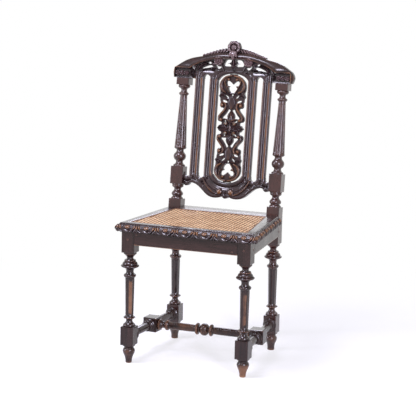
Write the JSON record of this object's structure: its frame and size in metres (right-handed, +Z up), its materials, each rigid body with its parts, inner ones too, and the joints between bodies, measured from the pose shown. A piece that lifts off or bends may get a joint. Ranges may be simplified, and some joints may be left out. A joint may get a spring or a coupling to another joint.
{
  "type": "carved dining chair",
  "caption": "Carved wooden side chair with a woven cane seat, turned legs and stretchers, and a raked back with a pierced centre splat and arched crest.",
  "frame": {"origin": "on the floor, under the middle of the chair's bounding box", "axes": "+X is the sitter's left, -Y is the front and +Z is up"},
  "size_m": [0.4724, 0.442, 1.0181],
  "materials": {
    "dark_wood": "dark brown stained and waxed hardwood, semi-gloss, worn to orange-brown on the carving's edges",
    "worn_wood": "unpolished brown hardwood",
    "peg_wood": "end grain of round pegs, lighter brown",
    "cane": "warm tan woven cane, satin",
    "binding": "brown flat binding cane, satin"
  },
  "bodies": {
    "root": {"back_bar_inner_left": "dark_wood", "back_bar_inner_right": "dark_wood", "back_bar_outer_left": "dark_wood", "back_bar_outer_right": "dark_wood", "back_lower_rail": "dark_wood", "back_upper_rail": "dark_wood", "cane_binding": "binding", "cane_panel": "cane", "centre_splat": "dark_wood", "crest_cartouche": "dark_wood", "crest_fretwork": "dark_wood", "crest_hood": "dark_wood", "crest_spray_left": "dark_wood", "crest_spray_right": "dark_wood", "cross_stretcher": "dark_wood", "frieze_block_left": "dark_wood", "frieze_block_right": "dark_wood", "front_corner_block_left": "worn_wood", "front_corner_block_right": "worn_wood", "front_leg_left": "dark_wood", "front_leg_peg_left": "peg_wood", "front_leg_peg_right": "peg_wood", "front_leg_right": "dark_wood", "front_rail_peg_left": "peg_wood", "front_rail_peg_right": "peg_wood", "front_seat_rail": "dark_wood", "front_side_peg_left": "peg_wood", "front_side_peg_right": "peg_wood", "rear_corner_block_left": "worn_wood", "rear_corner_block_right": "worn_wood", "rear_leg_peg_left": "peg_wood", "rear_leg_peg_right": "peg_wood", "rear_seat_rail": "dark_wood", "rear_side_peg_left": "peg_wood", "rear_side_peg_right": "peg_wood", "rear_stile_left": "dark_wood", "rear_stile_right": "dark_wood", "seat_board_front": "dark_wood", "seat_board_left": "dark_wood", "seat_board_rear": "dark_wood", "seat_board_right": "dark_wood", "side_seat_rail_left": "dark_wood", "side_seat_rail_right": "dark_wood", "side_stretcher_left": "dark_wood", "side_stretcher_right": "dark_wood"}
  },
  "joints": []
}
